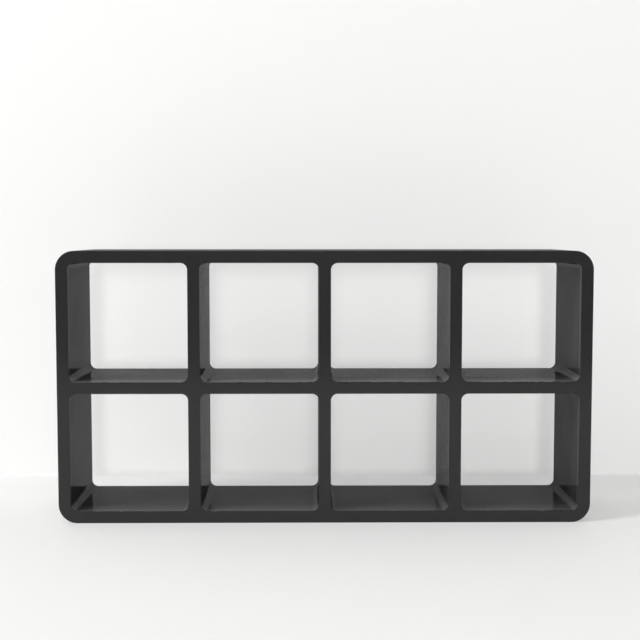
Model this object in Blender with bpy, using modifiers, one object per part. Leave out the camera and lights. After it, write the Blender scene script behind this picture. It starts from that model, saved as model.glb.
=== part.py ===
"""Display tray with a grid of square cells, standing on its long edge.

The tray is a cemented assembly of black sheet. An outer band and slotted dividers make an
egg-crate core, a round-cornered liner lines each cell, and a face frame closes the core at
the front and at the back. Each face frame is rebated round its windows, so that the ends of
the liners seat in it and their insides run flush with the windows.

Lengths are in metres. +Z is up, +X runs along the tray and the front faces -Y. The origin is
on the surface that the tray stands on, below the middle of the tray.
"""

from math import cos, pi, radians, sin

import bmesh
import bpy

# Grid of cells
COLUMNS = 4
ROWS = 2
CELL_OPENING = 0.052
CELL_CORNER_RADIUS = 0.003

# Front face to back face
TRAY_DEPTH = 0.053

# Sheet and wall thicknesses
FACE_THICKNESS = 0.005
BAND_THICKNESS = 0.0035
LINER_WALL = 0.0015
DIVIDER_THICKNESS = 0.0017

# Joints: the clearance of every fit, the liners' seats and the dividers' grooves
FIT_GAP = 0.0003
REBATE_DEPTH = 0.0015
GROOVE_DEPTH = 0.0012

# Round on the edges of the two outer faces
EDGE_ROUND = 0.0006

# Facets of the rounds, weld distance, cutters' run past what they cut, and angles between faces
CORNER_SEGMENTS = 6
EDGE_SEGMENTS = 2
MERGE_DISTANCE = 0.00001
CUT_OVERRUN = 0.001
SMOOTH_ANGLE = radians(30)
FLAT_ANGLE = radians(1)

# Sizes that follow from the ones above
LINER_WIDTH = CELL_OPENING + 2 * LINER_WALL
LINER_CORNER_RADIUS = CELL_CORNER_RADIUS + LINER_WALL
SEAT_WIDTH = LINER_WIDTH + 2 * FIT_GAP
SEAT_CORNER_RADIUS = LINER_CORNER_RADIUS + FIT_GAP
CELL_PITCH = SEAT_WIDTH + DIVIDER_THICKNESS
CORE_LENGTH = COLUMNS * CELL_PITCH - DIVIDER_THICKNESS
CORE_HEIGHT = ROWS * CELL_PITCH - DIVIDER_THICKNESS
TRAY_LENGTH = CORE_LENGTH + 2 * BAND_THICKNESS
TRAY_HEIGHT = CORE_HEIGHT + 2 * BAND_THICKNESS
TRAY_CORNER_RADIUS = SEAT_CORNER_RADIUS + BAND_THICKNESS
FACE_OFFSET = (TRAY_DEPTH - FACE_THICKNESS) / 2
CORE_DEPTH = TRAY_DEPTH - 2 * (FACE_THICKNESS + FIT_GAP)
LINER_DEPTH = CORE_DEPTH + 2 * REBATE_DEPTH
SLOT_WIDTH = DIVIDER_THICKNESS + 2 * FIT_GAP
DIVIDER_REACH = 2 * (GROOVE_DEPTH - FIT_GAP)

# Turns that stand a flat outline up: facing the front, facing the back, and across the tray
FACING_FRONT = (pi / 2, 0, 0)
FACING_BACK = (pi / 2, 0, pi)
ACROSS_TRAY = (0, -pi / 2, 0)


def cell_center(row, column):
    """Return a cell's centre in the plane of the faces, measured from the tray's centre."""
    x = (column - (COLUMNS - 1) / 2) * CELL_PITCH
    z = ((ROWS - 1) / 2 - row) * CELL_PITCH
    return x, z


def gap_centers(count):
    """Return the places of the dividers between a number of cells in a line."""
    return [(gap - count / 2) * CELL_PITCH for gap in range(1, count)]


def rounded_rectangle(width, height, radius, center=(0, 0)):
    """Return the outline of a rectangle with round corners."""
    outline = []
    for quarter, (side_x, side_y) in enumerate(((1, 1), (-1, 1), (-1, -1), (1, -1))):
        arc_x = center[0] + side_x * (width / 2 - radius)
        arc_y = center[1] + side_y * (height / 2 - radius)
        for step in range(CORNER_SEGMENTS + 1):
            angle = (quarter + step / CORNER_SEGMENTS) * pi / 2
            outline.append((arc_x + radius * cos(angle), arc_y + radius * sin(angle)))
    return outline


def slotted_strip(length, slot_centers, open_side):
    """Return the outline of a divider, with half-depth slots from one of its long edges.

    The strip lies along its own X. Its slots are open at the edge on the -Y or +Y side, and
    end half a clearance past the middle, where the crossing divider's slots end as well.
    """
    open_edge = open_side * CORE_DEPTH / 2
    slot_end = -open_side * FIT_GAP / 2
    outline = [(-length / 2, -open_edge), (-length / 2, open_edge)]
    for slot in slot_centers:
        near = slot - SLOT_WIDTH / 2
        far = slot + SLOT_WIDTH / 2
        outline += [(near, open_edge), (near, slot_end), (far, slot_end), (far, open_edge)]
    outline += [(length / 2, open_edge), (length / 2, -open_edge)]
    return outline


def weld(mesh):
    """Join the loose edges of a mesh and turn its faces outwards."""
    skin = bmesh.new()
    skin.from_mesh(mesh)
    bmesh.ops.remove_doubles(skin, verts=skin.verts, dist=MERGE_DISTANCE)
    bmesh.ops.recalc_face_normals(skin, faces=skin.faces)
    skin.to_mesh(mesh)
    skin.free()


def evaluated_mesh(item):
    """Return a welded mesh of an object as its curve or its modifiers make it."""
    depsgraph = bpy.context.evaluated_depsgraph_get()
    mesh = bpy.data.meshes.new_from_object(item.evaluated_get(depsgraph))
    weld(mesh)
    mesh.shade_smooth()
    mesh.set_sharp_from_angle(angle=SMOOTH_ANGLE)
    return mesh


def flatten_caps(mesh):
    """Make each flat cap of a solid without holes one face, so that cuts in it stay clean."""
    caps = bmesh.new()
    caps.from_mesh(mesh)
    bmesh.ops.dissolve_limit(caps, angle_limit=FLAT_ANGLE, edges=caps.edges)
    caps.to_mesh(mesh)
    caps.free()


def outline_solid(name, outlines, thickness, collection, parent):
    """Make a flat outline, with its holes, into a solid that is even about the outline's plane."""
    curve = bpy.data.curves.new(name, "CURVE")
    curve.dimensions = "2D"
    curve.fill_mode = "BOTH"
    curve.extrude = thickness / 2
    for outline in outlines:
        spline = curve.splines.new("POLY")
        spline.points.add(len(outline) - 1)
        spline.use_cyclic_u = True
        for point, (x, y) in zip(spline.points, outline):
            point.co = (x, y, 0, 1)
    drawing = bpy.data.objects.new(name + "_drawing", curve)
    collection.objects.link(drawing)

    mesh = evaluated_mesh(drawing)
    mesh.name = name
    if len(outlines) == 1:
        flatten_caps(mesh)
    solid = bpy.data.objects.new(name, mesh)
    solid.matrix_world = drawing.matrix_world
    solid.parent = parent
    collection.objects.link(solid)
    bpy.data.objects.remove(drawing)
    bpy.data.curves.remove(curve)
    return solid


def box_cutter(name, size, location, collection, parent):
    """Make a box that cuts other pieces and isn't a piece of the tray itself."""
    box = bmesh.new()
    bmesh.ops.create_cube(box, size=1)
    bmesh.ops.scale(box, vec=size, verts=box.verts)
    mesh = bpy.data.meshes.new(name)
    box.to_mesh(mesh)
    box.free()
    cutter = bpy.data.objects.new(name, mesh)
    cutter.location = location
    cutter.parent = parent
    collection.objects.link(cutter)
    mark_as_cutter(cutter)
    return cutter


def mark_as_cutter(cutter):
    """Keep a cutter out of the finished tray."""
    cutter.hide_render = True
    cutter.display_type = "WIRE"


def cut(solid, cutter):
    """Cut one piece with a cutter."""
    boolean = solid.modifiers.new(cutter.name, "BOOLEAN")
    boolean.operation = "DIFFERENCE"
    boolean.object = cutter


def round_outer_edges(solid, height):
    """Round the edges of the face that lies at a height along the piece's own Z."""
    edges = bmesh.new()
    edges.from_mesh(solid.data)
    weight = edges.edges.layers.float.new("bevel_weight_edge")
    for edge in edges.edges:
        on_face = all(abs(vertex.co.z - height) < MERGE_DISTANCE for vertex in edge.verts)
        if on_face and edge.calc_face_angle() > SMOOTH_ANGLE:
            edge[weight] = 1
    edges.to_mesh(solid.data)
    edges.free()
    bevel = solid.modifiers.new("outer_edges", "BEVEL")
    bevel.limit_method = "WEIGHT"
    bevel.width = EDGE_ROUND
    bevel.segments = EDGE_SEGMENTS


def black_plastic(name, grey, roughness):
    """Return a plain black plastic of a shade and a roughness."""
    material = bpy.data.materials.new(name)
    material.use_nodes = True
    shader = material.node_tree.nodes["Principled BSDF"]
    shader.inputs["Base Color"].default_value = (grey, grey, grey, 1)
    shader.inputs["Roughness"].default_value = roughness
    shader.inputs["Metallic"].default_value = 0
    return material


def cell_outlines(width, radius):
    """Return a square with round corners at each cell's centre."""
    cells = [cell_center(row, column) for row in range(ROWS) for column in range(COLUMNS)]
    return [rounded_rectangle(width, width, radius, cell) for cell in cells]


def face_frame(name, turn, offset, parts, cutters, center):
    """Make a face frame: a sheet with a window for each cell and a seat for each liner's end."""
    sheet = rounded_rectangle(TRAY_LENGTH, TRAY_HEIGHT, TRAY_CORNER_RADIUS)
    frame = outline_solid(name, [sheet], FACE_THICKNESS, parts, center)

    seats = cell_outlines(SEAT_WIDTH, SEAT_CORNER_RADIUS)
    rebates = outline_solid(name + "_rebates", seats, REBATE_DEPTH + CUT_OVERRUN, cutters, frame)
    rebates.location.z = (REBATE_DEPTH - CUT_OVERRUN - FACE_THICKNESS) / 2
    windows = cell_outlines(CELL_OPENING, CELL_CORNER_RADIUS)
    openings = outline_solid(name + "_windows", windows, FACE_THICKNESS + 2 * CUT_OVERRUN, cutters, frame)
    for cutter in (rebates, openings):
        mark_as_cutter(cutter)
        cut(frame, cutter)
    frame.data = evaluated_mesh(frame)
    frame.modifiers.clear()
    round_outer_edges(frame, FACE_THICKNESS / 2)

    frame.location.y = offset
    frame.rotation_euler = turn
    return frame


def outer_band(name, parts, cutters, center):
    """Make the band round the core, with a groove inside it for each end of each divider."""
    outside = rounded_rectangle(TRAY_LENGTH, TRAY_HEIGHT, TRAY_CORNER_RADIUS)
    inside = rounded_rectangle(CORE_LENGTH, CORE_HEIGHT, SEAT_CORNER_RADIUS)
    band = outline_solid(name, [outside, inside], CORE_DEPTH, parts, center)
    band.rotation_euler = FACING_FRONT

    groove_run = CORE_DEPTH + 2 * CUT_OVERRUN
    for number, z in enumerate(gap_centers(ROWS), start=1):
        size = (CORE_LENGTH + 2 * GROOVE_DEPTH, groove_run, SLOT_WIDTH)
        cut(band, box_cutter(f"end_grooves_{number}", size, (0, 0, z), cutters, center))
    for number, x in enumerate(gap_centers(COLUMNS), start=1):
        size = (SLOT_WIDTH, groove_run, CORE_HEIGHT + 2 * GROOVE_DEPTH)
        cut(band, box_cutter(f"top_and_bottom_grooves_{number}", size, (x, 0, 0), cutters, center))
    return band


def long_divider(name, z, parts, center):
    """Make a divider that runs the length of the tray, slotted from the front."""
    outline = slotted_strip(CORE_LENGTH + DIVIDER_REACH, gap_centers(COLUMNS), -1)
    divider = outline_solid(name, [outline], DIVIDER_THICKNESS, parts, center)
    divider.location.z = z
    return divider


def cross_divider(name, x, parts, center):
    """Make a divider that runs from the bottom of the tray to its top, slotted from the back."""
    outline = slotted_strip(CORE_HEIGHT + DIVIDER_REACH, gap_centers(ROWS), 1)
    divider = outline_solid(name, [outline], DIVIDER_THICKNESS, parts, center)
    divider.location.x = x
    divider.rotation_euler = ACROSS_TRAY
    return divider


def cell_liner(name, row, column, parts, center):
    """Make the round-cornered tube that lines a cell and seats in both face frames."""
    outside = rounded_rectangle(LINER_WIDTH, LINER_WIDTH, LINER_CORNER_RADIUS)
    inside = rounded_rectangle(CELL_OPENING, CELL_OPENING, CELL_CORNER_RADIUS)
    liner = outline_solid(name, [outside, inside], LINER_DEPTH, parts, center)
    x, z = cell_center(row, column)
    liner.location = (x, 0, z)
    liner.rotation_euler = FACING_FRONT
    return liner


def new_collection(name):
    """Add a collection to the scene."""
    collection = bpy.data.collections.new(name)
    bpy.context.scene.collection.children.link(collection)
    return collection


def dress(pieces, material):
    """Give pieces their material."""
    for piece in pieces:
        piece.data.materials.append(material)


def main():
    """Build the tray."""
    for leftover in list(bpy.data.objects):
        bpy.data.objects.remove(leftover)
    parts = new_collection("coin_display_tray")
    cutters = new_collection("cutters")
    center = bpy.data.objects.new("tray_center", None)
    center.location.z = TRAY_HEIGHT / 2
    parts.objects.link(center)

    frames = [
        face_frame("front_face_frame", FACING_FRONT, -FACE_OFFSET, parts, cutters, center),
        face_frame("rear_face_frame", FACING_BACK, FACE_OFFSET, parts, cutters, center),
    ]
    band = outer_band("outer_band", parts, cutters, center)
    dividers = []
    for number, z in enumerate(gap_centers(ROWS), start=1):
        dividers.append(long_divider(f"long_divider_{number}", z, parts, center))
    for number, x in enumerate(gap_centers(COLUMNS), start=1):
        dividers.append(cross_divider(f"cross_divider_{number}", x, parts, center))
    liners = []
    for row in range(ROWS):
        for column in range(COLUMNS):
            name = f"cell_liner_{row + 1}_{column + 1}"
            liners.append(cell_liner(name, row, column, parts, center))

    dress(frames, black_plastic("satin_face", grey=0.030, roughness=0.35))
    dress([band], black_plastic("satin_band", grey=0.028, roughness=0.38))
    dress(dividers, black_plastic("sawn_divider", grey=0.035, roughness=0.60))
    dress(liners, black_plastic("polished_liner", grey=0.025, roughness=0.20))


main()
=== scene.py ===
"""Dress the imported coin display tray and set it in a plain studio.

The tray is a cemented assembly of black plastic: two face frames with a window for each cell, a band
round the core and a polished liner in each cell. Every solid that shows is replaced by a smooth piece
with fine arrises. The hidden dividers keep their solids and get a sawn finish.
"""

import logging
import math
from collections.abc import Iterable, Mapping
from dataclasses import dataclass
from enum import Enum

import bmesh
import bpy
from bmesh.types import BMEdge, BMesh, BMFace, BMLayerItem, BMVert
from bpy.types import Material, Node, NodeSocket, NodeTree, Object
from mathutils import Matrix, Vector


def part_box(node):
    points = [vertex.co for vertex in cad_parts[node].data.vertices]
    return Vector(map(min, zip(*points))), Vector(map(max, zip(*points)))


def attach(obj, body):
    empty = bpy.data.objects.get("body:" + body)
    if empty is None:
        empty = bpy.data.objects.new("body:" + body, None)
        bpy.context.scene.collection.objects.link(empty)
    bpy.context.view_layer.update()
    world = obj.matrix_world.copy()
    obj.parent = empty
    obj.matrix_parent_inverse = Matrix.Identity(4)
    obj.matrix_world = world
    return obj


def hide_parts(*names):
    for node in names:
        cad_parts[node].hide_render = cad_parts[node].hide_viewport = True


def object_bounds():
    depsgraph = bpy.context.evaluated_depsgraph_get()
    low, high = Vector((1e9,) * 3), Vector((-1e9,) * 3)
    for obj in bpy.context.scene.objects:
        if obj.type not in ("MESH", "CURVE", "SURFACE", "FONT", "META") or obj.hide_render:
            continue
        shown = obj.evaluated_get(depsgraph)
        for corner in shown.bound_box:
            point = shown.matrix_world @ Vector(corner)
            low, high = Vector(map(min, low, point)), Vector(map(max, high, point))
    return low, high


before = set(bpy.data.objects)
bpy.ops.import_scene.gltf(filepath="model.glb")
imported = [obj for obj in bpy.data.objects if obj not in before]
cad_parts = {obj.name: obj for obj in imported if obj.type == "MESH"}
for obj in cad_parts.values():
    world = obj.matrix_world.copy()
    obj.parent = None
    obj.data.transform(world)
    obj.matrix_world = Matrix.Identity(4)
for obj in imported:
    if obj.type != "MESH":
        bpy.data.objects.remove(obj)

LOG = logging.getLogger("coin_display_tray")
BODY = "root"
CAD_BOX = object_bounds()

CORNER_SEGMENTS = 20
ARRIS_SEGMENTS = 6
EASED_SEGMENTS = 3
SAME_PLANE = 1e-5
SHARP_ANGLE = math.radians(40.0)
FLAT_COSINE = 0.99
# Vertex layer of pale painted light and wear: a painted highlight along the up-facing cut edges below the
# windows, with chipped wear, and painted light on the front of each liner floor.
LIGHT_AND_WEAR_LAYER = "painted_light_and_wear"
SHEET_LAYER = "sheet_face"
LINER_NODE = "cell_liner_"
DIVIDER_NODE = "_divider_"

NOISE_MIDDLE = 0.5
DARKER_TONE = 0.82
PALER_TONE = 1.35

Color = tuple[float, float, float]
Input = "Signal | float | tuple[float, ...]"


class Slot(Enum):
    """Material slots of the record, for the face, the band and the liners; the new pieces do not use them.
    """

    FACE = "face"
    BAND = "band"
    LINER = "liner"


class Facing(Enum):
    """The way that a face frame looks, as its turn about the upright axis."""

    FRONT = 0.0
    REAR = math.pi


class Signal:
    """A shader output that takes part in Python arithmetic through Math nodes."""

    def __init__(self, graph: "NodeGraph", socket: NodeSocket) -> None:
        """Keep the graph and the output that this signal stands for."""
        self.graph = graph
        self.socket = socket

    def _math(self, operation: str, first: Input, second: Input) -> "Signal":
        """Add a Math node.

        Args:
            operation: Name of the node's operation.
            first: Left-hand value or signal.
            second: Right-hand value or signal.

        Returns:
            The node's result.
        """
        return self.graph.node("ShaderNodeMath", {"operation": operation}, {0: first, 1: second})

    def __add__(self, other: Input) -> "Signal":
        """Return self + other."""
        return self._math("ADD", self, other)

    def __radd__(self, other: Input) -> "Signal":
        """Return other + self."""
        return self._math("ADD", other, self)

    def __sub__(self, other: Input) -> "Signal":
        """Return self - other."""
        return self._math("SUBTRACT", self, other)

    def __rsub__(self, other: Input) -> "Signal":
        """Return other - self."""
        return self._math("SUBTRACT", other, self)

    def __mul__(self, other: Input) -> "Signal":
        """Return self * other."""
        return self._math("MULTIPLY", self, other)

    def __rmul__(self, other: Input) -> "Signal":
        """Return other * self."""
        return self._math("MULTIPLY", other, self)


class NodeGraph:
    """A node tree that one method fills."""

    def __init__(self, tree: NodeTree) -> None:
        """Keep a tree and empty it.

        Args:
            tree: Tree of a material or of the world.
        """
        self.tree = tree
        self.tree.nodes.clear()

    def node(
        self,
        kind: str,
        settings: Mapping[str, object] | None = None,
        inputs: Mapping[str | int, Input] | None = None,
        output: str | int = 0,
    ) -> Signal:
        """Add a node of any kind.

        Args:
            kind: The node's type.
            settings: Properties that are set before the sockets; "stops" fills a ramp.
            inputs: Values or signals for the sockets, by name or number.
            output: The socket that the result comes from, by name or number.

        Returns:
            The chosen output.
        """
        made = self.tree.nodes.new(kind)
        for key, value in (settings or {}).items():
            if key == "stops":
                self._fill_ramp(made, value)
            else:
                setattr(made, key, value)
        for key, value in (inputs or {}).items():
            if isinstance(value, Signal):
                self.tree.links.new(value.socket, made.inputs[key])
            else:
                made.inputs[key].default_value = value
        return Signal(self, made.outputs[output]) if made.outputs else Signal(self, None)

    @staticmethod
    def _fill_ramp(ramp: Node, stops: Iterable[tuple[float, float]]) -> None:
        """Set a ramp's stops.

        Args:
            ramp: A Color Ramp node.
            stops: Pairs of position and grey level, from left to right.
        """
        elements = ramp.color_ramp.elements
        for place, (position, level) in enumerate(stops):
            stop = elements[place] if place < 2 else elements.new(position)
            stop.position = position
            stop.color = (level, level, level, 1.0)

    def looked_at(self) -> Signal:
        """Tell what is looked at from what only gives light.

        Returns:
            1 for what the camera, a reflection or a clear piece shows, and 0 for lighting.
        """
        seen = self.node("ShaderNodeLightPath", output="Is Camera Ray")
        mirrored = self.node("ShaderNodeLightPath", output="Is Glossy Ray")
        through = self.node("ShaderNodeLightPath", output="Is Transmission Ray")
        return seen + mirrored + through


class FinishGraph(NodeGraph):
    """The node tree of one finish, with its surface shader."""

    def __init__(self, name: str) -> None:
        """Make an empty material.

        Args:
            name: Name of the material.
        """
        self.material = bpy.data.materials.new(name)
        self.material.use_nodes = True
        super().__init__(self.material.node_tree)

    def place(self, turn: Vector = Vector(), stretch: Vector = Vector((1.0, 1.0, 1.0))) -> Signal:
        """Return object coordinates, turned and stretched.

        Args:
            turn: Angles about the three axes.
            stretch: Scale along the three axes, after the turn.

        Returns:
            The coordinates.
        """
        point = self.node("ShaderNodeTexCoord", output="Object")
        turned = self.node("ShaderNodeMapping", inputs={"Vector": point, "Rotation": tuple(turn)})
        return self.node("ShaderNodeMapping", inputs={"Vector": turned, "Scale": tuple(stretch)})

    def noise(self, point: Signal, size: float, detail: float = 2.0) -> Signal:
        """Return soft noise between 0 and 1.

        Args:
            point: Coordinates in metres.
            size: Width of one patch in metres.
            detail: Count of finer layers.

        Returns:
            The noise.
        """
        return self.node("ShaderNodeTexNoise", {}, {"Vector": point, "Scale": 1.0 / size, "Detail": detail})

    def ramp(self, factor: Signal, *stops: tuple[float, float]) -> Signal:
        """Return a factor reshaped by a ramp with the given stops."""
        return self.node("ShaderNodeValToRGB", {"stops": stops}, {"Fac": factor})

    def blend(self, factor: Input, first: Input, second: Input) -> Signal:
        """Return a colour between two colours."""
        colors = {0: factor, 6: first, 7: second}
        return self.node("ShaderNodeMix", {"data_type": "RGBA"}, colors, output=2)

    def mark(self, layer: str) -> Signal:
        """Return the value that a piece carries in a layer of its mesh, or 0 where it has none."""
        settings = {"attribute_name": layer, "attribute_type": "GEOMETRY"}
        return self.node("ShaderNodeAttribute", settings, output="Fac")

    def bump(self, height: Signal) -> Signal:
        """Return the normal of a surface with relief of the given height in metres."""
        return self.node("ShaderNodeBump", {}, {"Height": height, "Distance": 1.0})

    def surface(self, **sockets: Input) -> Signal:
        """Add the surface shader.

        Args:
            **sockets: Values or signals of its sockets, with _ for each space in a name.

        Returns:
            The shader.
        """
        named = {key.replace("_", " "): value for key, value in sockets.items()}
        return self.node("ShaderNodeBsdfPrincipled", {}, named)

    def finish(self, shader: Signal) -> Material:
        """Join the shader to the output and return the material."""
        self.node("ShaderNodeOutputMaterial", {}, {"Surface": shader})
        return self.material


def opaque(color: Color) -> tuple[float, float, float, float]:
    """Return a colour with full alpha."""
    return (*color, 1.0)


def shaded(color: Color, factor: float) -> tuple[float, float, float, float]:
    """Return a colour made darker or paler, with full alpha."""
    return opaque(tuple(factor * channel for channel in color))


@dataclass(frozen=True)
class Unevenness:
    """How strongly the patterns of a black finish show in one of its properties.

    Attributes:
        haze: Weight of the wide dull patches.
        mottle: Weight of the fine mottling.
        hairlines: Weight of the handling scratches.
    """

    haze: float
    mottle: float
    hairlines: float


@dataclass(frozen=True)
class BlackPlastic:
    """A black plastic finish with a satin body under a thin polish.

    Attributes:
        name: Name of the material.
        shade: Linear colour of the plastic.
        roughness: Roughness of the body.
        polish: Weight of the sharp reflection over the body.
        polish_roughness: Roughness of that reflection.
        grain_depth: Height of the fine grain in metres.
        draw_lines: Strength of the lines that run round a cell, square to its depth.
        haze_size: Width of a dull patch in metres.
        mottle_size: Width of a mottle in metres.
        grain_size: Width of a grain in metres.
        grain_share: Share of the relief that is grain, while the rest is mottling.
        hairline_stretch: Spacing of the scratches, as a scale along the three axes.
        hairline_ways: For each way that they run, its turn and the noise level where a scratch starts.
        hairline_edge: How far above that level a scratch is full.
        line_stretch: Spacing of the lines round a cell, as a scale along the three axes.
        tone: How the patterns show in the colour.
        dulling: How they take away from the polish.
        roughening: How they add to the roughness.
        full_polish: The polish where nothing dulls it, as a share of its weight.
    """

    name: str
    shade: Color
    roughness: float
    polish: float
    polish_roughness: float
    grain_depth: float
    draw_lines: float = 0.0
    haze_size: float = 0.035
    mottle_size: float = 0.0015
    grain_size: float = 0.0004
    grain_share: float = 0.6
    hairline_stretch: Vector = Vector((2600.0, 26.0, 26.0))
    hairline_ways: tuple[tuple[Vector, float], ...] = (
        (Vector((0.3, 0.5, 0.4)), 0.72),
        (Vector((-0.6, 1.1, -0.9)), 0.74),
    )
    hairline_edge: float = 0.06
    line_stretch: Vector = Vector((8.0, 900.0, 8.0))
    tone: Unevenness = Unevenness(haze=0.25, mottle=0.35, hairlines=0.3)
    dulling: Unevenness = Unevenness(haze=0.22, mottle=0.3, hairlines=0.25)
    roughening: Unevenness = Unevenness(haze=0.08, mottle=0.1, hairlines=0.0)
    full_polish: float = 1.1

    def material(self) -> Material:
        """Build the finish.

        Returns:
            The material.
        """
        graph = FinishGraph(self.name)
        point = graph.place()
        haze = graph.ramp(graph.noise(point, self.haze_size, detail=4.0), (0.35, 0.0), (0.70, 1.0))
        mottle = graph.noise(point, self.mottle_size, detail=3.0)
        grain = graph.noise(point, self.grain_size, detail=1.0)
        hairlines = self._hairlines(graph)
        lines = graph.noise(graph.place(stretch=self.line_stretch), 1.0, detail=3.0) - NOISE_MIDDLE
        drawn = lines * self.draw_lines

        tone = haze * self.tone.haze + mottle * self.tone.mottle + hairlines * self.tone.hairlines + drawn
        dulled = haze * self.dulling.haze + hairlines * self.dulling.hairlines - drawn
        dulled = dulled + (mottle - NOISE_MIDDLE) * self.dulling.mottle
        rough = haze * self.roughening.haze + (mottle - NOISE_MIDDLE) * self.roughening.mottle
        relief = (grain * self.grain_share + mottle * (1.0 - self.grain_share)) * self.grain_depth
        shader = graph.surface(
            Base_Color=self._body(graph, point, tone),
            Roughness=self.roughness + rough,
            Specular_IOR_Level=0.0,
            Coat_Weight=self._polish(graph) * (self.full_polish - dulled),
            Coat_Roughness=self.polish_roughness,
            Coat_IOR=1.5,
            Normal=graph.bump(self._relief(graph, point, relief)),
        )
        return graph.finish(shader)

    @staticmethod
    def _toned(graph: FinishGraph, shade: Color, tone: Signal) -> Signal:
        """Return a shade that the tone makes darker or paler."""
        return graph.blend(tone, shaded(shade, DARKER_TONE), shaded(shade, PALER_TONE))

    def _body(self, graph: FinishGraph, point: Signal, tone: Signal) -> Signal:
        """Return the colour of the plastic."""
        return self._toned(graph, self.shade, tone)

    def _polish(self, graph: FinishGraph) -> Input:
        """Return the weight of the polish before it is dulled."""
        return self.polish

    def _relief(self, graph: FinishGraph, point: Signal, relief: Signal) -> Signal:
        """Return the relief of the surface in metres."""
        return relief

    def _hairlines(self, graph: FinishGraph) -> Signal:
        """Return faint handling scratches that cross in two directions.

        Args:
            graph: The finish's graph.

        Returns:
            A mask that is 1 in a scratch.
        """
        scratches: Input = 0.0
        for turn, level in self.hairline_ways:
            way = graph.noise(graph.place(turn, self.hairline_stretch), 1.0, detail=0.0)
            scratches = scratches + graph.ramp(way, (level, 0.0), (level + self.hairline_edge, 1.0))
        return scratches


@dataclass(frozen=True)
class BlackSheet(BlackPlastic):
    """Black sheet with a glossy face, duller cut edges and arrises that handling has chipped.

    Attributes:
        face_shade: Linear colour of the glossy face.
        face_polish: Weight of the sharp reflection on the face.
        light_and_wear_shade: Linear colour of pale plastic, for painted light and wear.
        chips_and_highlight: How pale the chips along an arris are, from 0 to 1; they crowd where the
            painted highlight is, so they are partly chipped wear and partly painted highlight.
        light_and_wear_paling: How pale a cut edge is made, from 0 to 1: painted light where light from
            above falls, and wear.
        chip_depth: Depth of the chips in metres.
        chip_size: Length of a chip in metres.
        chip_spread: How far single chips depart from the wear that the arris carries.
        run_size: Length of a run of chips in metres.
        run_spread: How far the runs depart from that wear.
        chip_levels: Levels of wear where a chip starts and where it is full.
    """

    face_shade: Color = (0.0, 0.0, 0.0)
    face_polish: float = 0.0
    light_and_wear_shade: Color = (0.0, 0.0, 0.0)
    chips_and_highlight: float = 0.0
    light_and_wear_paling: float = 0.0
    chip_depth: float = 0.0
    chip_size: float = 0.0016
    chip_spread: float = 1.6
    run_size: float = 0.012
    run_spread: float = 1.4
    chip_levels: tuple[float, float] = (0.92, 1.06)

    def _body(self, graph: FinishGraph, point: Signal, tone: Signal) -> Signal:
        """Return the colour of the face, its cut edges, and their painted light and wear.

        Args:
            graph: The finish's graph.
            point: Coordinates in metres.
            tone: Place between the darker and the paler shade.

        Returns:
            The colour.
        """
        sheet = graph.mark(SHEET_LAYER)
        edge = super()._body(graph, point, tone)
        plastic = graph.blend(sheet, edge, self._toned(graph, self.face_shade, tone))
        # Cut edges are painted paler where the layer is high: painted light where light from above falls on
        # the floors' front edges, with some wear.
        lit_and_worn_edge = graph.mark(LIGHT_AND_WEAR_LAYER) * (1.0 - sheet) * self.light_and_wear_paling
        lit_and_worn = lit_and_worn_edge + self._chips(graph, point) * self.chips_and_highlight
        return graph.blend(lit_and_worn, plastic, opaque(self.light_and_wear_shade))

    def _polish(self, graph: FinishGraph) -> Signal:
        """Return the polish of the face and of its cut edges."""
        return self.polish + graph.mark(SHEET_LAYER) * (self.face_polish - self.polish)

    def _relief(self, graph: FinishGraph, point: Signal, relief: Signal) -> Signal:
        """Return the relief of the sheet, with chips in its worn arrises."""
        return relief - self._chips(graph, point) * self.chip_depth

    def _chips(self, graph: FinishGraph, point: Signal) -> Signal:
        """Return the chips of the arrises, which crowd where the layer of painted highlight and wear is
        strongest.

        Args:
            graph: The finish's graph.
            point: Coordinates in metres.

        Returns:
            A mask that is 1 in a chip.
        """
        chips = graph.noise(point, self.chip_size, detail=2.0) - NOISE_MIDDLE
        runs = graph.noise(point, self.run_size, detail=2.0) - NOISE_MIDDLE
        light_and_wear = graph.mark(LIGHT_AND_WEAR_LAYER) + chips * self.chip_spread + runs * self.run_spread
        start, full = self.chip_levels
        return graph.ramp(light_and_wear, (start, 0.0), (full, 1.0)) * graph.mark(SHEET_LAYER)


@dataclass(frozen=True)
class FrontLitPlastic(BlackPlastic):
    """Polished plastic whose floor is painted pale towards the front of a cell, as painted light where
    light from the front and above falls.

    Attributes:
        light_and_wear_shade: Linear colour of the painted light at the floor's front.
        light_and_wear_paling: How pale the painted light makes the floor at the front, from 0 to 1.
        half_depth: Distance of the front from the middle, in metres.
        unlit_share: Share of that distance, from the middle, that has no painted light.
    """

    light_and_wear_shade: Color = (0.0, 0.0, 0.0)
    light_and_wear_paling: float = 0.0
    half_depth: float = -CAD_BOX[0].y
    unlit_share: float = 0.5

    def _body(self, graph: FinishGraph, point: Signal, tone: Signal) -> Signal:
        """Return the colour of the plastic, with painted light on the front of its floor.

        Args:
            graph: The finish's graph.
            point: Coordinates in metres.
            tone: Place between the darker and the paler shade.

        Returns:
            The colour.
        """
        depth = graph.node("ShaderNodeSeparateXYZ", inputs={0: point}, output="Y")
        near_front = graph.ramp(depth * (-1.0 / self.half_depth), (self.unlit_share, 0.0), (1.0, 1.0))
        # Painted light: the floor's front is painted paler, where light from the front and above reaches
        # past the cell's ceiling.
        lit_and_worn = near_front * graph.mark(LIGHT_AND_WEAR_LAYER) * self.light_and_wear_paling
        return graph.blend(lit_and_worn, super()._body(graph, point, tone), opaque(self.light_and_wear_shade))


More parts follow.
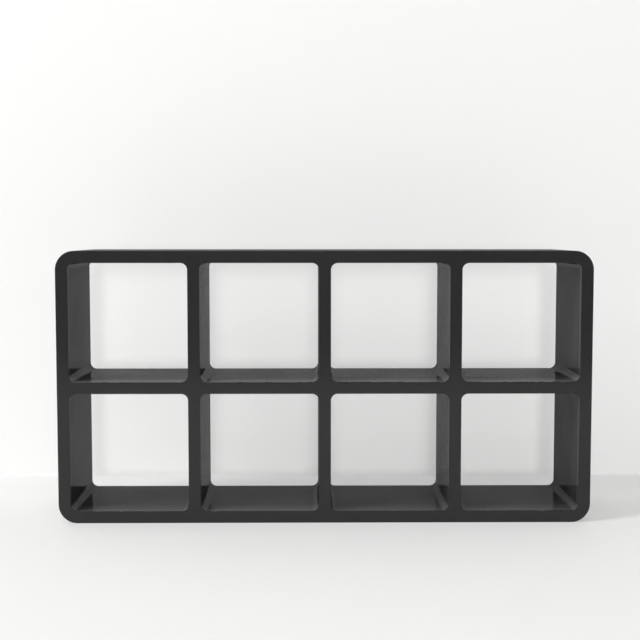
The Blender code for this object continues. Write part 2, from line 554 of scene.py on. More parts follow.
@dataclass(frozen=True)
class SawnPlastic:
    """The dull face of a sawn plastic strip.

    Attributes:
        name: Name of the material.
        shade: Linear colour of the plastic.
        saw_turn: Turn of the saw marks about the three axes.
        saw_stretch: Spacing of the saw marks, as a scale along the three axes.
        saw_depth: Depth of the saw marks in metres.
        dust_size: Width of a dusty patch in metres.
        pale: How many times paler than the plastic dust and saw marks make it.
        roughness: Least roughness.
        mark_roughness: What a saw mark adds to it.
    """

    name: str
    shade: Color
    saw_turn: Vector = Vector((0.0, 0.2, 0.0))
    saw_stretch: Vector = Vector((40.0, 40.0, 1500.0))
    saw_depth: float = 0.00003
    dust_size: float = 0.008
    pale: float = 1.8
    roughness: float = 0.55
    mark_roughness: float = 0.2

    def material(self) -> Material:
        """Build the finish.

        Returns:
            The material.
        """
        graph = FinishGraph(self.name)
        marks = graph.noise(graph.place(self.saw_turn, self.saw_stretch), 1.0, detail=3.0)
        dust = graph.ramp(graph.noise(graph.place(), self.dust_size, detail=4.0), (0.45, 0.0), (0.75, 1.0))
        both = (marks + dust) * 0.5
        shader = graph.surface(
            Base_Color=graph.blend(both, opaque(self.shade), shaded(self.shade, self.pale)),
            Roughness=self.roughness + marks * self.mark_roughness,
            IOR=1.49,
            Normal=graph.bump(marks * self.saw_depth),
        )
        return graph.finish(shader)


@dataclass(frozen=True)
class StudioPaint:
    """Matt paint of the studio, which a camera behind it sees through and lamps shine through.

    Attributes:
        name: Name of the material.
        shade: Linear colour of the paint.
        glow: Share of plain white that the camera and reflections see in place of shaded paint.
        fade: Distances from the tray where that share starts to rise and where all is white.
        white: Linear colour of that white.
        patch_size: Width of a patch of the paint in metres.
        dark_patch: Shade of the darkest patch, as a share of the paint's.
        roughness: Least roughness.
        patch_roughness: What the palest patch adds to it.
    """

    name: str
    shade: Color
    glow: float
    fade: tuple[float, float] = (0.9, 2.4)
    white: Color = (1.0, 0.998, 0.994)
    patch_size: float = 0.25
    dark_patch: float = 0.985
    roughness: float = 0.6
    patch_roughness: float = 0.1

    def material(self) -> Material:
        """Build the finish.

        Returns:
            The material.
        """
        graph = FinishGraph(self.name)
        patches = graph.noise(graph.place(), self.patch_size, detail=3.0)
        paint = graph.surface(
            Base_Color=graph.blend(patches, shaded(self.shade, self.dark_patch), opaque(self.shade)),
            Roughness=self.roughness + patches * self.patch_roughness,
            Specular_IOR_Level=0.25,
        )
        white = graph.node("ShaderNodeEmission", {}, {"Color": opaque(self.white), "Strength": 1.0})
        lit = graph.node("ShaderNodeMixShader", {}, {0: self._whiteness(graph), 1: paint, 2: white})
        clear = graph.node("ShaderNodeBsdfTransparent")
        behind = graph.node("ShaderNodeNewGeometry", output="Backfacing")
        seen = graph.node("ShaderNodeLightPath", output="Is Camera Ray")
        lamp = graph.node("ShaderNodeLightPath", output="Is Shadow Ray")
        mixed = graph.node("ShaderNodeMixShader", {}, {0: behind * (seen + lamp), 1: lit, 2: clear})
        return graph.finish(mixed)

    def _whiteness(self, graph: FinishGraph) -> Signal:
        """Return the share of white, which rises away from the tray and is 0 for lighting.

        Args:
            graph: The finish's graph.

        Returns:
            The share.
        """
        start, end = self.fade
        length = {"operation": "LENGTH"}
        away = graph.node("ShaderNodeVectorMath", length, {0: graph.place()}, output="Value")
        far = graph.ramp((away - start) * (1.0 / (end - start)), (0.0, 0.0), (1.0, 1.0))
        return graph.looked_at() * (self.glow + far * (1.0 - self.glow))


@dataclass(frozen=True)
class TrayLayout:
    """Sizes and places that the pieces share, in metres.

    Attributes:
        low: Lowest corner of the tray.
        high: Highest corner of the tray.
        cell_middles: Middle of each cell, by row (1 at the top) and column (1 at the left).
        liner_width: Outer width and height of a liner.
        face_thickness: Thickness of a face frame.
        fit_gap: Clearance that the solids keep at each cemented joint.
        cell_opening: Clear width and height of a cell.
        cell_radius: Radius of a cell's corners.
        rebate_depth: Depth of the seat behind a window, which holds a liner's end.
        cement_line: Width of the joint that shows between cemented pieces.
        arris: Radius of the outer edges of a face frame.
        eased_edge: Radius of the other edges.
    """

    low: Vector
    high: Vector
    cell_middles: Mapping[tuple[int, int], Vector]
    liner_width: float
    face_thickness: float
    fit_gap: float
    cell_opening: float = 0.052
    cell_radius: float = 0.003
    rebate_depth: float = 0.0015
    cement_line: float = 0.00006
    arris: float = 0.00025
    eased_edge: float = 0.00012

    @classmethod
    def from_frame(cls) -> "TrayLayout":
        """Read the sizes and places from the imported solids.

        Returns:
            The layout.
        """
        middles: dict[tuple[int, int], Vector] = {}
        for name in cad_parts:
            if name.startswith(LINER_NODE):
                row, column = (int(part) for part in name.removeprefix(LINER_NODE).split("_"))
                low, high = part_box(name)
                middles[row, column] = (low + high) / 2.0
        liner_low, liner_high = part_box(f"{LINER_NODE}1_1")
        face_low, face_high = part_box("front_face_frame")
        return cls(
            low=CAD_BOX[0],
            high=CAD_BOX[1],
            cell_middles=middles,
            liner_width=liner_high.x - liner_low.x,
            face_thickness=face_high.y - face_low.y,
            fit_gap=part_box("outer_band")[0].y - face_high.y,
        )

    @property
    def middle(self) -> Vector:
        """Return the middle of the tray."""
        return (self.low + self.high) / 2.0

    @property
    def size(self) -> Vector:
        """Return the tray's length, depth and height."""
        return self.high - self.low

    @property
    def rim(self) -> float:
        """Return the width of the bar between the outer edge and the cells."""
        return self.cell_middles[1, 1].x - self.cell_opening / 2.0 - self.low.x

    @property
    def bar(self) -> float:
        """Return the width of the bar between two cells."""
        return self.cell_middles[1, 2].x - self.cell_middles[1, 1].x - self.cell_opening

    @property
    def outer_radius(self) -> float:
        """Return the radius of the tray's corners, concentric with the corner cells."""
        return self.cell_radius + self.rim

    @property
    def liner_wall(self) -> float:
        """Return the thickness of a liner's wall."""
        return (self.liner_width - self.cell_opening) / 2.0

    @property
    def closed_gap(self) -> float:
        """Return how far a piece grows at a joint, so that only the cement line shows."""
        return self.fit_gap - self.cement_line


def only(items: Iterable[object], kind: type) -> list:
    """Return the items of one kind."""
    return [item for item in items if isinstance(item, kind)]


@dataclass
class RoundLoop:
    """The outline of an upright rectangle with round corners.

    Attributes:
        middle: Middle of the rectangle.
        width: Width of the rectangle.
        height: Height of the rectangle.
        radius: Radius of the corners.
        edges: The edges of the outline.
    """

    middle: Vector
    width: float
    height: float
    radius: float
    edges: list[BMEdge]

    @classmethod
    def draw(cls, mesh: BMesh, middle: Vector, width: float, height: float, radius: float) -> "RoundLoop":
        """Add an outline to a mesh.

        Args:
            mesh: Mesh to add to.
            middle: Middle of the rectangle.
            width: Width of the rectangle.
            height: Height of the rectangle.
            radius: Radius of the corners.

        Returns:
            The outline.
        """
        corners = bmesh.ops.create_grid(mesh, x_segments=1, y_segments=1, size=0.5)["verts"]
        bmesh.ops.scale(mesh, vec=(width, height, 1.0), verts=corners)
        bmesh.ops.rotate(mesh, matrix=Matrix.Rotation(math.pi / 2.0, 3, "X"), verts=corners)
        bmesh.ops.translate(mesh, vec=middle, verts=corners)
        rounded = bmesh.ops.bevel(
            mesh,
            geom=corners,
            offset=radius,
            offset_type="OFFSET",
            segments=CORNER_SEGMENTS,
            profile=0.5,
            affect="VERTICES",
            material=-1,
        )
        sheet = rounded["verts"][0].link_faces[0]
        edges = list(sheet.edges)
        bmesh.ops.delete(mesh, geom=[sheet], context="FACES_ONLY")
        return cls(middle, width, height, radius, edges)

    def add_ring(self, mesh: BMesh, breadth: float) -> tuple["RoundLoop", list[BMFace]]:
        """Add a flat ring inside the outline, with its corners about the same centres.

        Args:
            mesh: Mesh that the outline belongs to.
            breadth: Breadth of the ring.

        Returns:
            The ring's inner outline and its faces.
        """
        grown = bmesh.ops.extrude_edge_only(mesh, edges=self.edges)["geom"]
        points = only(grown, BMVert)
        edges = only(grown, BMEdge)
        shrink = (self.radius - breadth) / self.radius
        reach = Vector((self.width / 2.0 - self.radius, 0.0, self.height / 2.0 - self.radius))
        for side, level in ((-1.0, -1.0), (-1.0, 1.0), (1.0, -1.0), (1.0, 1.0)):
            centre = self.middle + Vector((side * reach.x, 0.0, level * reach.z))
            corner = [
                point
                for point in points
                if (point.co.x - self.middle.x) * side > 0.0 and (point.co.z - self.middle.z) * level > 0.0
            ]
            bmesh.ops.scale(
                mesh, vec=(shrink, shrink, shrink), space=Matrix.Translation(-centre), verts=corner
            )
        inner = RoundLoop(
            self.middle,
            self.width - 2.0 * breadth,
            self.height - 2.0 * breadth,
            self.radius - breadth,
            edges,
        )
        return inner, [edge.link_faces[0] for edge in edges]


def push(mesh: BMesh, faces: Iterable[BMFace], step: Vector) -> list[BMFace]:
    """Extrude faces and point the whole surface outwards.

    Args:
        mesh: Mesh that the faces belong to.
        faces: Faces to move.
        step: The way that they move.

    Returns:
        The moved faces.
    """
    chosen = list(faces)
    borders = {edge for face in chosen for edge in face.edges}
    moved = bmesh.ops.extrude_face_region(mesh, geom=[*chosen, *borders])["geom"]
    bmesh.ops.translate(mesh, vec=step, verts=only(moved, BMVert))
    bmesh.ops.recalc_face_normals(mesh, faces=mesh.faces)
    return only(moved, BMFace)


def slice_at(mesh: BMesh, place: Vector, normal: Vector) -> None:
    """Cut new edges into a mesh along a plane.

    Args:
        mesh: Mesh to cut.
        place: A point of the plane.
        normal: The way that the plane faces.
    """
    bmesh.ops.bisect_plane(
        mesh,
        geom=[*mesh.verts, *mesh.edges, *mesh.faces],
        dist=SAME_PLANE,
        plane_co=place,
        plane_no=normal,
    )


def corner_edges(mesh: BMesh, plane: float) -> list[BMEdge]:
    """Find the sharp edges that lie in an upright plane.

    Args:
        mesh: Mesh to search.
        plane: Depth of the plane.

    Returns:
        The edges.
    """
    return [
        edge
        for edge in mesh.edges
        if all(abs(point.co.y - plane) < SAME_PLANE for point in edge.verts)
        and edge.calc_face_angle(0.0) > SHARP_ANGLE
    ]


def round_edges(mesh: BMesh, edges: list[BMEdge], radius: float, segments: int) -> None:
    """Round edges.

    Args:
        mesh: Mesh that the edges belong to.
        edges: The edges.
        radius: Radius of the rounding.
        segments: Count of its segments.
    """
    bmesh.ops.bevel(
        mesh,
        geom=edges,
        offset=radius,
        offset_type="OFFSET",
        segments=segments,
        profile=0.5,
        affect="EDGES",
        clamp_overlap=False,
        material=-1,
    )


def to_object(name: str, mesh: BMesh) -> Object:
    """Turn a mesh into an object of the scene.

    Args:
        name: Name of the object.
        mesh: The mesh, in place.

    Returns:
        The object.
    """
    data = bpy.data.meshes.new(name)
    mesh.to_mesh(data)
    mesh.free()
    made = bpy.data.objects.new(name, data)
    bpy.context.scene.collection.objects.link(made)
    return made


def make_piece(name: str, mesh: BMesh) -> Object:
    """Turn a mesh into a smooth object whose flat faces stay flat.

    Args:
        name: Name of the piece.
        mesh: Closed mesh, in place.

    Returns:
        The object.
    """
    bmesh.ops.recalc_face_normals(mesh, faces=mesh.faces)
    piece = to_object(name, mesh)
    piece.data.shade_smooth()
    piece.data.set_sharp_from_angle(angle=SHARP_ANGLE)
    flat = piece.modifiers.new("flat_faces", "WEIGHTED_NORMAL")
    flat.keep_sharp = True
    return piece


def fit(piece: Object, node: str, finish: Material) -> None:
    """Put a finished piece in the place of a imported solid.

    Args:
        piece: The piece.
        node: The solid that it stands for.
        finish: Its material.
    """
    piece.data.materials.append(finish)
    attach(piece, BODY)
    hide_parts(node)
    LOG.info("%s stands for %s", piece.name, node)


@dataclass
class FaceFrame:
    """A sheet with a window for each cell and a seat for each liner behind it.

    Attributes:
        layout: Sizes of the tray.
        facing: The way that the frame looks.
        handled: Wear and painted light on an arris that is only touched, as a share of the strongest.
        columns: Painted highlight and wear below the upper cell of each column, strongest on the left, the
            side the key lamp shines from.
        low_row: Painted highlight and wear below a lower cell, as a share of that below the upper one, as
            less light falls there.
        facing_up_slope: How far a point lies below a cell's middle, as a share of its distance from it,
        where the strongest painted highlight and wear start to fade in and where they are full.
    """

    layout: TrayLayout
    facing: Facing
    handled: float = 0.3
    columns: tuple[float, ...] = (1.15, 1.04, 0.95, 1.02)
    low_row: float = 0.6
    facing_up_slope: tuple[float, float] = (0.67, 0.74)

    def build(self) -> Object:
        """Model the frame as the front one and turn it to its own side.

        Returns:
            The piece.
        """
        mesh = bmesh.new()
        seats = mesh.faces.layers.int.new("seat")
        outline = self._add_rim(mesh)
        windows = self._add_cell_rings(mesh, seats)
        self._fill_crossings(mesh, {*outline, *windows})
        self._thicken(mesh, seats)
        self._round(mesh)
        self._mark_face(mesh)
        if self.facing is Facing.FRONT:
            self._mark_light_and_wear(mesh)
        turn = Matrix.Rotation(self.facing.value, 3, "Z")
        bmesh.ops.rotate(mesh, cent=self.layout.middle, matrix=turn, verts=mesh.verts)
        return make_piece(f"{self.facing.name.lower()}_frame", mesh)

    def dress(self, piece: Object, finish: Material) -> None:
        """Give the frame its finish and its place."""
        fit(piece, f"{self.facing.name.lower()}_face_frame", finish)

    def _at_front(self, point: Vector) -> Vector:
        """Return a point moved to the front face."""
        return Vector((point.x, self.layout.low.y, point.z))

    def _add_rim(self, mesh: BMesh) -> list[BMEdge]:
        """Add the flat ring along the outer edge, cut where the cells' corner arcs end.

        Args:
            mesh: Mesh to add to.

        Returns:
            The edges of the outline.
        """
        layout = self.layout
        middle = self._at_front(layout.middle)
        outline = RoundLoop.draw(mesh, middle, layout.size.x, layout.size.z, layout.outer_radius)
        outline.add_ring(mesh, layout.rim - layout.bar / 2.0)
        straight = layout.cell_opening / 2.0 - layout.cell_radius
        for cell in layout.cell_middles.values():
            for axis in (Vector((1.0, 0.0, 0.0)), Vector((0.0, 0.0, 1.0))):
                slice_at(mesh, cell - axis * straight, axis)
                slice_at(mesh, cell + axis * straight, axis)
        return [edge for edge in mesh.edges if edge.is_boundary and self._bounds_outside(edge)]

    def _bounds_outside(self, edge: BMEdge) -> bool:
        """Tell the outer outline from the inner one.

        Args:
            edge: An open edge of the rim.

        Returns:
            Whether its face lies on the side of the tray's middle.
        """
        point = (edge.verts[0].co + edge.verts[1].co) / 2.0
        face = edge.link_faces[0].calc_center_median()
        return (face - point).dot(point - self._at_front(self.layout.middle)) < 0.0

    def _add_cell_rings(self, mesh: BMesh, seats: BMLayerItem) -> list[BMEdge]:
        """Add a flat ring round each window.

        Args:
            mesh: Mesh to add to.
            seats: Layer that marks the faces over a liner's seat.

        Returns:
            The edges of the windows.
        """
        layout = self.layout
        half_bar = layout.bar / 2.0
        seat = layout.liner_wall + layout.fit_gap
        width = layout.cell_opening + layout.bar
        windows: list[BMEdge] = []
        for cell in layout.cell_middles.values():
            radius = layout.cell_radius + half_bar
            outline = RoundLoop.draw(mesh, self._at_front(cell), width, width, radius)
            seat_edge, _ = outline.add_ring(mesh, half_bar - seat)
            window, over_seat = seat_edge.add_ring(mesh, seat)
            for face in over_seat:
                face[seats] = 1
            windows.extend(window.edges)
        return windows

    def _fill_crossings(self, mesh: BMesh, kept: set[BMEdge]) -> None:
        """Join the rings and fill what is left open where bars meet.

        Args:
            mesh: Mesh of the rings.
            kept: Edges that stay open.
        """
        bmesh.ops.remove_doubles(mesh, verts=mesh.verts, dist=SAME_PLANE)
        gaps = [edge for edge in mesh.edges if edge.is_boundary and edge not in kept]
        bmesh.ops.holes_fill(mesh, edges=gaps, sides=0)

    def _thicken(self, mesh: BMesh, seats: BMLayerItem) -> None:
        """Give the sheet its thickness and leave the seats open behind the windows.

        Args:
            mesh: Flat mesh of the frame.
            seats: Layer that marks the faces over a liner's seat.
        """
        layout = self.layout
        floor = push(mesh, mesh.faces, Vector((0.0, layout.face_thickness - layout.rebate_depth, 0.0)))
        ribs = [face for face in floor if not face[seats]]
        push(mesh, ribs, Vector((0.0, layout.rebate_depth, 0.0)))

    def _round(self, mesh: BMesh) -> None:
        """Round the front edges and ease the edges that meet the band and the liners.

        Args:
            mesh: Mesh of the frame.
        """
        layout = self.layout
        back = layout.low.y + layout.face_thickness
        round_edges(mesh, corner_edges(mesh, back), layout.eased_edge, EASED_SEGMENTS)
        round_edges(mesh, corner_edges(mesh, layout.low.y), layout.arris, ARRIS_SEGMENTS)

    def _mark_light_and_wear(self, mesh: BMesh) -> None:
        """Write the painted light and wear of each point on the cut edges of the windows.

        Args:
            mesh: Mesh of the frame.
        """
        layer = mesh.verts.layers.float.new(LIGHT_AND_WEAR_LAYER)
        cut_depth = self.layout.face_thickness - self.layout.rebate_depth
        for point in mesh.verts:
            inward = point.co.y - self.layout.low.y
            if SAME_PLANE < inward < cut_depth + SAME_PLANE:
                point[layer] = self._light_and_wear(point.co)

    def _light_and_wear(self, place: Vector) -> float:
        """Return the painted light and wear at a point: most on the up-facing edge below a cell, where
        light from above falls.

        Args:
            place: A point on an edge of the frame.

        Returns:
            The painted light and wear, about 1 at its strongest.
        """
        layout = self.layout
        nearest = min(layout.cell_middles, key=lambda key: self._spread(layout.cell_middles[key] - place))
        cell = layout.cell_middles[nearest]
        if self._spread(cell - place) > layout.cell_opening / 2.0 + 2.0 * layout.arris:
            return 0.0
        row, column = nearest
        # Painted highlight: strongest on the left and in the upper row, where more light falls.
        strongest = self.columns[column - 1] * (1.0 if row == 1 else self.low_row)
        start, full = self.facing_up_slope
        below = ((cell - place).xz.normalized().y - start) / (full - start)
        return self.handled + (strongest - self.handled) * min(max(below, 0.0), 1.0)

    @staticmethod
    def _spread(span: Vector) -> float:
        """Return the longer of a span's two lengths along the face."""
        return max(abs(span.x), abs(span.z))

    def _mark_face(self, mesh: BMesh) -> None:
        """Write 1 on the front and its arrises, which are glossier than the cut edges.

        Args:
            mesh: Mesh of the frame.
        """
        layer = mesh.faces.layers.float.new(SHEET_LAYER)
        reach = self.layout.low.y + self.layout.arris + SAME_PLANE
        for face in mesh.faces:
            face[layer] = 1.0 if all(point.co.y < reach for point in face.verts) else 0.0


def round_tube(
    layout: TrayLayout, node: str, radius: float, wall: float
) -> tuple[BMesh, tuple[float, float]]:
    """Model a round-cornered tube over a solid, drawn to the cement lines at its ends.

    Args:
        layout: Sizes of the tray.
        node: The solid.
        radius: Outer radius of the corners.
        wall: Thickness of the wall.

    Returns:
        The mesh and the depth of its two ends.
    """
    low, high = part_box(node)
    front = low.y - layout.closed_gap
    back = high.y + layout.closed_gap
    middle = Vector(((low.x + high.x) / 2.0, front, (low.z + high.z) / 2.0))
    mesh = bmesh.new()
    outline = RoundLoop.draw(mesh, middle, high.x - low.x, high.z - low.z, radius)
    outline.add_ring(mesh, wall)
    push(mesh, mesh.faces, Vector((0.0, back - front, 0.0)))
    return mesh, (front, back)


@dataclass
class CellLiner:
    """A round-cornered tube that lines one cell.

    Attributes:
        layout: Sizes of the tray.
        row: Row number, 1 at the top.
        column: Column number, 1 at the left.
        low_row: Painted light on a lower floor, as a share of that on an upper one.
    """

    layout: TrayLayout
    row: int
    column: int
    low_row: float = 0.55

    @property
    def node(self) -> str:
        """Return the name of the solid that the liner stands for."""
        return f"{LINER_NODE}{self.row}_{self.column}"

    def build(self) -> Object:
        """Model the liner.

        Returns:
            The piece.
        """
        layout = self.layout
        radius = layout.cell_radius + layout.liner_wall
        mesh, ends = round_tube(layout, self.node, radius, layout.liner_wall)
        for end in ends:
            round_edges(mesh, corner_edges(mesh, end), layout.eased_edge, EASED_SEGMENTS)
        self._mark_floor(mesh)
        return make_piece(f"liner_{self.row}_{self.column}", mesh)

    def dress(self, piece: Object, finish: Material) -> None:
        """Give the liner its finish and its place."""
        fit(piece, self.node, finish)

    def _mark_floor(self, mesh: BMesh) -> None:
        """Write the painted light of the floor, which fades out up the round corners.

        Args:
            mesh: Mesh of the liner.
        """
        layout = self.layout
        layer = mesh.verts.layers.float.new(LIGHT_AND_WEAR_LAYER)
        middle = layout.cell_middles[self.row, self.column]
        arc_top = middle.z - layout.cell_opening / 2.0 + layout.cell_radius
        # The painted light is weaker on the lower floors.
        strongest = 1.0 if self.row == 1 else self.low_row
        for point in mesh.verts:
            drop = (arc_top - point.co.z) / layout.cell_radius
            point[layer] = strongest * min(max(drop, 0.0), 1.0)


@dataclass
class OuterBand:
    """The band round the core, with a groove for each end of a divider.

    Attributes:
        layout: Sizes of the tray.
        node: The solid that it stands for.
        wall: Thickness of the band.
        groove_width: Width of a groove.
        groove_depth: Depth of a groove.
    """

    layout: TrayLayout
    node: str = "outer_band"
    wall: float = 0.0035
    groove_width: float = 0.0023
    groove_depth: float = 0.0012

    def build(self) -> Object:
        """Model the band.

        Returns:
            The piece.
        """
        layout = self.layout
        mesh, ends = round_tube(layout, self.node, layout.outer_radius, self.wall)
        for divider in [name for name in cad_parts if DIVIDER_NODE in name]:
            self._cut_grooves(mesh, divider)
        for end in ends:
            round_edges(mesh, corner_edges(mesh, end), layout.eased_edge, EASED_SEGMENTS)
        return make_piece("band", mesh)

    def dress(self, piece: Object, finish: Material) -> None:
        """Give the band its finish and its place."""
        fit(piece, self.node, finish)

    def _cut_grooves(self, mesh: BMesh, divider: str) -> None:
        """Sink the band's inner wall where a divider's two ends meet it.

        Args:
            mesh: Mesh of the band.
            divider: Name of the divider.
        """
        low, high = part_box(divider)
        place = (low + high) / 2.0
        upright = high.x - low.x < high.z - low.z
        across = Vector((1.0, 0.0, 0.0)) if upright else Vector((0.0, 0.0, 1.0))
        along = Vector((0.0, 0.0, 1.0)) if upright else Vector((1.0, 0.0, 0.0))
        half_width = self.groove_width / 2.0
        slice_at(mesh, place - across * half_width, across)
        slice_at(mesh, place + across * half_width, across)
        for end in (-along, along):
            floor = [
                face
                for face in mesh.faces
                if face.normal.dot(end) < -FLAT_COSINE
                and (face.calc_center_median() - place).dot(end) > 0.0
                and abs((face.calc_center_median() - place).dot(across)) < half_width
            ]
            push(mesh, floor, end * self.groove_depth)


@dataclass(frozen=True)
class SoftLight:
    """A large square lamp that looks at the tray.

    Attributes:
        name: Name of the lamp.
        bearing: Angle from the front towards the right, in degrees.
        height: Angle above the floor, in degrees.
        power: Power in watts.
        distance: Distance from the tray.
        size: Width of the lamp's face.
        mirrored: Whether glossy surfaces show the lamp.
    """

    name: str
    bearing: float
    height: float
    power: float
    distance: float = 2.0
    size: float = 0.9
    mirrored: bool = True

    def hang(self, target: Vector) -> Object:
        """Make the lamp and turn it to the target.

        Args:
            target: The point that it looks at.

        Returns:
            The lamp.
        """
        turn = math.radians(self.bearing)
        rise = math.radians(self.height)
        away = Vector((math.sin(turn) * math.cos(rise), -math.cos(turn) * math.cos(rise), math.sin(rise)))
        lamp = bpy.data.lights.new(self.name, "AREA")
        lamp.size = self.size
        lamp.energy = self.power
        hung = bpy.data.objects.new(self.name, lamp)
        hung.location = target + away * self.distance
        hung.rotation_euler = (-away).to_track_quat("-Z", "Y").to_euler()
        hung.visible_glossy = self.mirrored
        bpy.context.scene.collection.objects.link(hung)
        return hung


@dataclass
class Studio:
    """A white floor that curves up to a wall, a dark card behind the camera, soft lamps and the camera.

    Attributes:
        layout: Sizes of the tray.
        wall_gap: Distance from the tray's back to the wall.
        cove: Radius of the curve between the floor and the wall.
        floor_reach: How far the floor runs to the front and to each side.
        wall_height: Height of the wall.
        card_place: How far in front of the tray the card stands.
        card_size: Width and height of the card.
        fill: Strength of the light from all round.
        lens: Focal length in millimetres.
        camera_place: Where the camera stands.
        camera_pitch: Angle that the camera looks down, in degrees.
        camera_yaw: Angle that it looks to the right, in degrees.
        paint: Paint of the floor and the wall.
        rear_paint: Paint of the floor behind the wall.
        card_paint: Paint of the card.
        lamps: The lamps.
    """

    layout: TrayLayout
    wall_gap: float = 0.049
    cove: float = 0.0015
    floor_reach: float = 3.0
    wall_height: float = 3.0
    card_place: float = 0.57
    card_size: tuple[float, float] = (4.0, 2.0)
    fill: float = 0.02
    lens: float = 66.14
    camera_place: Vector = Vector((-0.00722, -0.53781, 0.12694))
    camera_pitch: float = 4.158
    camera_yaw: float = 0.5665
    paint: StudioPaint = StudioPaint("pale_paint", (0.86, 0.857, 0.85), 0.36)
    rear_paint: StudioPaint = StudioPaint("rear_paint", (0.86, 0.857, 0.85), 0.36, (0.1, 0.7))
    card_paint: StudioPaint = StudioPaint("card_paint", (0.11, 0.11, 0.11), 0.2, (4.0, 8.0))
    lamps: tuple[SoftLight, ...] = (
        SoftLight("key_lamp", bearing=-65.0, height=28.0, power=13.4),
        SoftLight("side_lamp", bearing=-60.0, height=50.0, power=12.4, size=0.4),
        SoftLight("top_lamp", bearing=2.0, height=50.0, power=7.6),
        SoftLight("front_lamp", bearing=0.0, height=4.0, power=15.1, size=0.3, mirrored=False),
    )

    def build(self) -> None:
        """Make the floors and the wall, the card, the lamps, the fill light and the camera."""
        self._add_sweep()
        self._add_rear_floor()
        self._add_card()
        for lamp in self.lamps:
            lamp.hang(self.layout.middle)
        self._add_fill()
        self._add_camera()

    def _add_sweep(self) -> None:
        """Add the floor and the wall as one sheet with a curve between them."""
        wall = self.layout.high.y + self.wall_gap
        mesh = bmesh.new()
        front_edge = [
            mesh.verts.new((side * self.floor_reach, -self.floor_reach, 0.0)) for side in (-1.0, 1.0)
        ]
        line = mesh.edges.new(front_edge)
        for step in (Vector((0.0, self.floor_reach + wall, 0.0)), Vector((0.0, 0.0, self.wall_height))):
            moved = bmesh.ops.extrude_edge_only(mesh, edges=[line])["geom"]
            bmesh.ops.translate(mesh, vec=step, verts=only(moved, BMVert))
            line = only(moved, BMEdge)[0]
        fold = [edge for edge in mesh.edges if len(edge.link_faces) == 2]
        round_edges(mesh, fold, self.cove, CORNER_SEGMENTS)
        bmesh.ops.recalc_face_normals(mesh, faces=mesh.faces)
        floor = min(mesh.faces, key=lambda face: face.calc_center_median().y)
        if floor.normal.z < 0.0:
            bmesh.ops.reverse_faces(mesh, faces=mesh.faces)
        sweep = to_object("studio_sweep", mesh)
        sweep.data.shade_smooth()
        sweep.data.materials.append(self.paint.material())

    def _add_rear_floor(self) -> None:
        """Carry the floor on behind the wall, for views from the back."""
        start = self.layout.high.y + self.wall_gap - self.cove
        place = Matrix.Translation((0.0, start + self.floor_reach / 2.0, 0.0))
        size = (2.0 * self.floor_reach, self.floor_reach)
        self._add_sheet("studio_rear_floor", size, place, self.rear_paint)

    def _add_card(self) -> None:
        """Stand a dark card behind the camera, which shows only in reflections and blocks no light."""
        place = Vector((0.0, self.layout.low.y - self.card_place, self.card_size[1] / 2.0))
        upright = Matrix.Translation(place) @ Matrix.Rotation(-math.pi / 2.0, 4, "X")
        card = self._add_sheet("studio_card", self.card_size, upright, self.card_paint)
        card.visible_camera = False
        card.visible_diffuse = False
        card.visible_shadow = False

    @staticmethod
    def _add_sheet(name: str, size: tuple[float, float], place: Matrix, paint: StudioPaint) -> Object:
        """Add a flat painted sheet to the stage.

        Args:
            name: Name of the sheet.
            size: Its length along X and Y before it is placed.
            place: Its turn and place.
            paint: Its paint.

        Returns:
            The sheet.
        """
        mesh = bmesh.new()
        corners = bmesh.ops.create_grid(mesh, x_segments=1, y_segments=1, size=0.5)["verts"]
        bmesh.ops.scale(mesh, vec=(*size, 1.0), verts=corners)
        bmesh.ops.transform(mesh, matrix=place, verts=corners)
        sheet = to_object(name, mesh)
        sheet.data.materials.append(paint.material())
        return sheet

    def _add_fill(self) -> None:
        """Light the studio from all round, with white beyond it for the camera and reflections."""
        world = bpy.data.worlds.new("studio_fill")
        world.use_nodes = True
        bpy.context.scene.world = world
        graph = NodeGraph(world.node_tree)
        pale = opaque((1.0, 1.0, 1.0))
        fill = graph.node("ShaderNodeBackground", {}, {"Color": pale, "Strength": self.fill})
        white = graph.node("ShaderNodeBackground", {}, {"Color": pale, "Strength": 1.0})
        chosen = graph.node("ShaderNodeMixShader", {}, {0: graph.looked_at(), 1: fill, 2: white})
        graph.node("ShaderNodeOutputWorld", {}, {"Surface": chosen})

    def _add_camera(self) -> None:
        """Set up the camera at the photograph's viewing angle."""
        data = bpy.data.cameras.new("camera")
        data.lens = self.lens
        camera = bpy.data.objects.new("camera", data)
        camera.location = self.camera_place
        upright = math.pi / 2.0 - math.radians(self.camera_pitch)
        camera.rotation_euler = (upright, 0.0, -math.radians(self.camera_yaw))
        bpy.context.scene.collection.objects.link(camera)
        bpy.context.scene.camera = camera


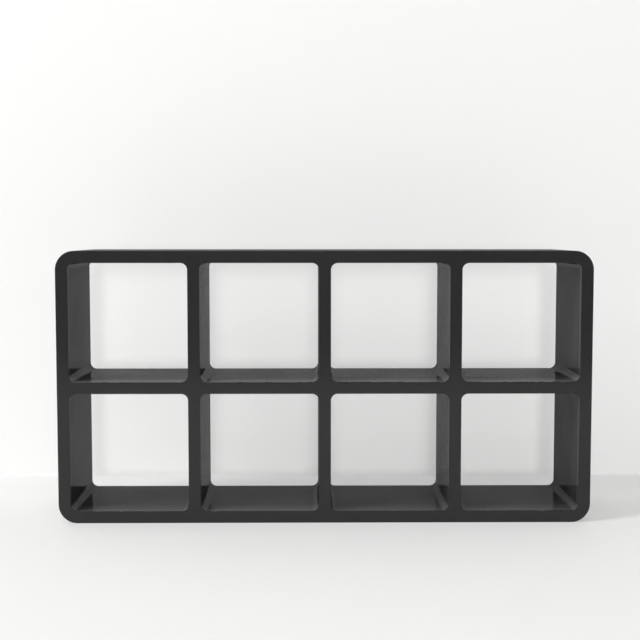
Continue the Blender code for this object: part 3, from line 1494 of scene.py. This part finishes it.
# Pale colour of the painted light and wear on cut edges, arrises and the fronts of liner floors.
LIGHT_AND_WEAR_PALE: Color = (0.25, 0.25, 0.252)
FACE_FINISH = BlackSheet(
    name="satin_face",
    shade=(0.041, 0.041, 0.0424),
    roughness=0.5,
    polish=0.195,
    polish_roughness=0.14,
    grain_depth=0.000010,
    face_shade=(0.0186, 0.0186, 0.0197),
    face_polish=0.62,
    light_and_wear_shade=LIGHT_AND_WEAR_PALE,
    chips_and_highlight=0.5,
    light_and_wear_paling=0.36,
    chip_depth=0.000015,
)
BAND_FINISH = BlackPlastic(
    name="satin_band",
    shade=(0.041, 0.041, 0.0422),
    roughness=0.5,
    polish=0.17,
    polish_roughness=0.10,
    grain_depth=0.000012,
)
# The liner floors carry painted light, paler towards the front of each cell.
LINER_FINISH = FrontLitPlastic(
    name="polished_liner",
    shade=(0.037, 0.037, 0.0382),
    roughness=0.45,
    polish=0.195,
    polish_roughness=0.12,
    grain_depth=0.000008,
    draw_lines=0.3,
    light_and_wear_shade=LIGHT_AND_WEAR_PALE,
    light_and_wear_paling=0.45,
)
DIVIDER_FINISH = SawnPlastic("sawn_divider", (0.035, 0.035, 0.036))


def dress_dividers() -> None:
    """Give the hidden dividers, which keep their solids, a sawn finish."""
    finish = DIVIDER_FINISH.material()
    for name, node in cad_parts.items():
        if DIVIDER_NODE in name:
            node.data.materials.clear()
            node.data.materials.append(finish)
            LOG.info("%s keeps its solid", name)


def main() -> None:
    """Build the studio and every piece, and dress them."""
    logging.basicConfig(level=logging.INFO, format="%(name)s: %(message)s")
    bpy.context.scene.view_settings.view_transform = "Standard"
    layout = TrayLayout.from_frame()
    Studio(layout).build()
    face = FACE_FINISH.material()
    for facing in Facing:
        face_frame = FaceFrame(layout, facing)
        face_frame.dress(face_frame.build(), face)
    band = OuterBand(layout)
    band.dress(band.build(), BAND_FINISH.material())
    polished = LINER_FINISH.material()
    for row, column in layout.cell_middles:
        liner = CellLiner(layout, row, column)
        liner.dress(liner.build(), polished)
    dress_dividers()


if __name__ == "__main__":
    main()
